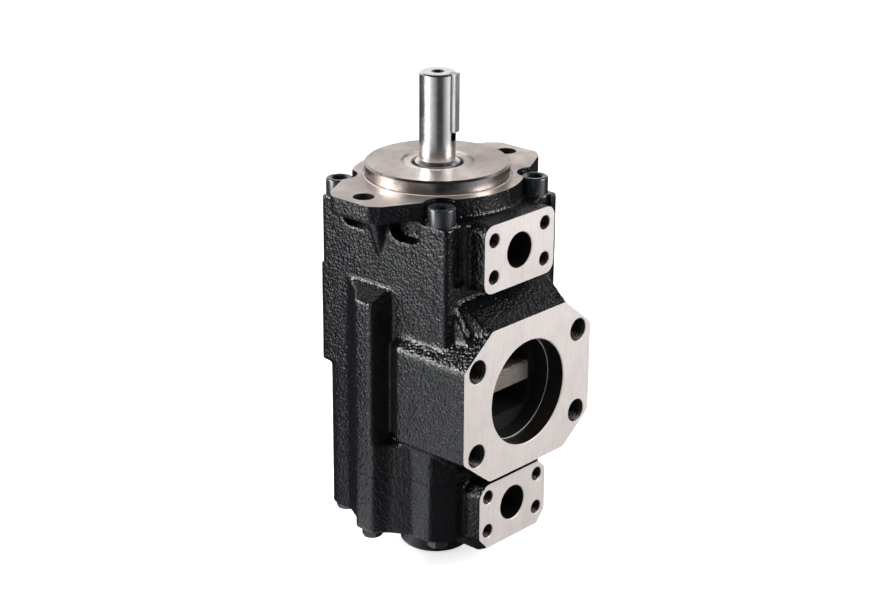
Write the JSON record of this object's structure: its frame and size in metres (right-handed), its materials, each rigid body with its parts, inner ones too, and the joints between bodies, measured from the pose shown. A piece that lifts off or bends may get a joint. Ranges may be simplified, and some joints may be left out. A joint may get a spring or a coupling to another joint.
{
  "type": "hydraulic vane pump",
  "caption": "Double vane pump with a keyed shaft, a two-bolt pilot flange, one large suction port and smaller flanged pressure ports above and below it.",
  "frame": {"origin": "shaft axis at the mounting face of the flange", "axes": "+Z along the shaft towards its keyed end, +X from one ear to the other, the ports face -Y"},
  "size_m": [0.174, 0.1464, 0.3547],
  "materials": {
    "casting_paint": "gloss black paint on rough castings, with bare machined faces",
    "dark_steel": "dark oiled screws",
    "ground_steel": "ground",
    "spring_steel": "phosphated",
    "seal_rubber": "matt",
    "bronze": "machined",
    "plate_iron": "ground cast iron"
  },
  "bodies": {
    "housing": {"front_housing": "casting_paint", "center_housing": "casting_paint", "rear_cap": "casting_paint", "front_screws": "dark_steel", "rear_screws": "dark_steel", "front_joint_seal": "seal_rubber", "rear_joint_seal": "seal_rubber", "shaft_seal": "seal_rubber", "bearing_outer_ring": "ground_steel", "bearing_clip": "spring_steel", "rear_bush": "bronze", "p1_wear_plate": "plate_iron", "p1_cam_ring": "ground_steel", "p1_port_plate": "plate_iron", "p1_rim_seal": "seal_rubber", "p1_hub_seal": "seal_rubber", "p1_tie_screws": "dark_steel", "p1_dowels": "ground_steel", "p2_wear_plate": "plate_iron", "p2_cam_ring": "ground_steel", "p2_port_plate": "plate_iron", "p2_rim_seal": "seal_rubber", "p2_hub_seal": "seal_rubber", "p2_tie_screws": "dark_steel", "p2_dowels": "ground_steel"},
    "shaft": {"shaft": "ground_steel", "shaft_key": "ground_steel", "bearing_inner_ring": "ground_steel", "shaft_clip": "spring_steel", "p1_rotor": "ground_steel", "p2_rotor": "ground_steel"},
    "bearing_cage": {"bearing_cage": "bronze", "bearing_balls": "ground_steel"},
    "p1_vane_01": {"p1_vane_01": "ground_steel"},
    "p1_vane_02": {"p1_vane_02": "ground_steel"},
    "p1_vane_03": {"p1_vane_03": "ground_steel"},
    "p1_vane_04": {"p1_vane_04": "ground_steel"},
    "p1_vane_05": {"p1_vane_05": "ground_steel"},
    "p1_vane_06": {"p1_vane_06": "ground_steel"},
    "p1_vane_07": {"p1_vane_07": "ground_steel"},
    "p1_vane_08": {"p1_vane_08": "ground_steel"},
    "p1_vane_09": {"p1_vane_09": "ground_steel"},
    "p1_vane_10": {"p1_vane_10": "ground_steel"},
    "p2_vane_01": {"p2_vane_01": "ground_steel"},
    "p2_vane_02": {"p2_vane_02": "ground_steel"},
    "p2_vane_03": {"p2_vane_03": "ground_steel"},
    "p2_vane_04": {"p2_vane_04": "ground_steel"},
    "p2_vane_05": {"p2_vane_05": "ground_steel"},
    "p2_vane_06": {"p2_vane_06": "ground_steel"},
    "p2_vane_07": {"p2_vane_07": "ground_steel"},
    "p2_vane_08": {"p2_vane_08": "ground_steel"},
    "p2_vane_09": {"p2_vane_09": "ground_steel"},
    "p2_vane_10": {"p2_vane_10": "ground_steel"}
  },
  "joints": [
    {"name": "shaft_spin", "type": "hinge", "parent": "housing", "child": "shaft", "pos_m": [0, 0, 0], "axis": [0, 0, 1], "continuous": true},
    {"name": "bearing_cage_spin", "type": "hinge", "parent": "housing", "child": "bearing_cage", "pos_m": [0, 0, 0], "axis": [0, 0, 1], "continuous": true},
    {"name": "p1_vane_01_slide", "type": "slide", "parent": "shaft", "child": "p1_vane_01", "axis": [1, 0, 0], "range_m": [-0.001, 0.00015]},
    {"name": "p1_vane_02_slide", "type": "slide", "parent": "shaft", "child": "p1_vane_02", "axis": [0.809, 0.5878, 0], "range_m": [-0.001, 0.00094]},
    {"name": "p1_vane_03_slide", "type": "slide", "parent": "shaft", "child": "p1_vane_03", "axis": [0.309, 0.9511, 0], "range_m": [-0.001, 0.004]},
    {"name": "p1_vane_04_slide", "type": "slide", "parent": "shaft", "child": "p1_vane_04", "axis": [-0.309, 0.9511, 0], "range_m": [-0.001, 0.004]},
    {"name": "p1_vane_05_slide", "type": "slide", "parent": "shaft", "child": "p1_vane_05", "axis": [-0.809, 0.5878, 0], "range_m": [-0.001, 0.00094]},
    {"name": "p1_vane_06_slide", "type": "slide", "parent": "shaft", "child": "p1_vane_06", "axis": [-1, 0, 0], "range_m": [-0.001, 0.00015]},
    {"name": "p1_vane_07_slide", "type": "slide", "parent": "shaft", "child": "p1_vane_07", "axis": [-0.809, -0.5878, 0], "range_m": [-0.001, 0.00094]},
    {"name": "p1_vane_08_slide", "type": "slide", "parent": "shaft", "child": "p1_vane_08", "axis": [-0.309, -0.9511, 0], "range_m": [-0.001, 0.004]},
    {"name": "p1_vane_09_slide", "type": "slide", "parent": "shaft", "child": "p1_vane_09", "axis": [0.309, -0.9511, 0], "range_m": [-0.001, 0.004]},
    {"name": "p1_vane_10_slide", "type": "slide", "parent": "shaft", "child": "p1_vane_10", "axis": [0.809, -0.5878, 0], "range_m": [-0.001, 0.00094]},
    {"name": "p2_vane_01_slide", "type": "slide", "parent": "shaft", "child": "p2_vane_01", "axis": [1, 0, 0], "range_m": [-0.001, 0.00015]},
    {"name": "p2_vane_02_slide", "type": "slide", "parent": "shaft", "child": "p2_vane_02", "axis": [0.809, 0.5878, 0], "range_m": [-0.001, 0.00094]},
    {"name": "p2_vane_03_slide", "type": "slide", "parent": "shaft", "child": "p2_vane_03", "axis": [0.309, 0.9511, 0], "range_m": [-0.001, 0.004]},
    {"name": "p2_vane_04_slide", "type": "slide", "parent": "shaft", "child": "p2_vane_04", "axis": [-0.309, 0.9511, 0], "range_m": [-0.001, 0.004]},
    {"name": "p2_vane_05_slide", "type": "slide", "parent": "shaft", "child": "p2_vane_05", "axis": [-0.809, 0.5878, 0], "range_m": [-0.001, 0.00094]},
    {"name": "p2_vane_06_slide", "type": "slide", "parent": "shaft", "child": "p2_vane_06", "axis": [-1, 0, 0], "range_m": [-0.001, 0.00015]},
    {"name": "p2_vane_07_slide", "type": "slide", "parent": "shaft", "child": "p2_vane_07", "axis": [-0.809, -0.5878, 0], "range_m": [-0.001, 0.00094]},
    {"name": "p2_vane_08_slide", "type": "slide", "parent": "shaft", "child": "p2_vane_08", "axis": [-0.309, -0.9511, 0], "range_m": [-0.001, 0.004]},
    {"name": "p2_vane_09_slide", "type": "slide", "parent": "shaft", "child": "p2_vane_09", "axis": [0.309, -0.9511, 0], "range_m": [-0.001, 0.004]},
    {"name": "p2_vane_10_slide", "type": "slide", "parent": "shaft", "child": "p2_vane_10", "axis": [0.809, -0.5878, 0], "range_m": [-0.001, 0.00094]}
  ],
  "couplings": [
    {"joint": "bearing_cage_spin", "follows": "shaft_spin", "ratio": 0.3978}
  ]
}
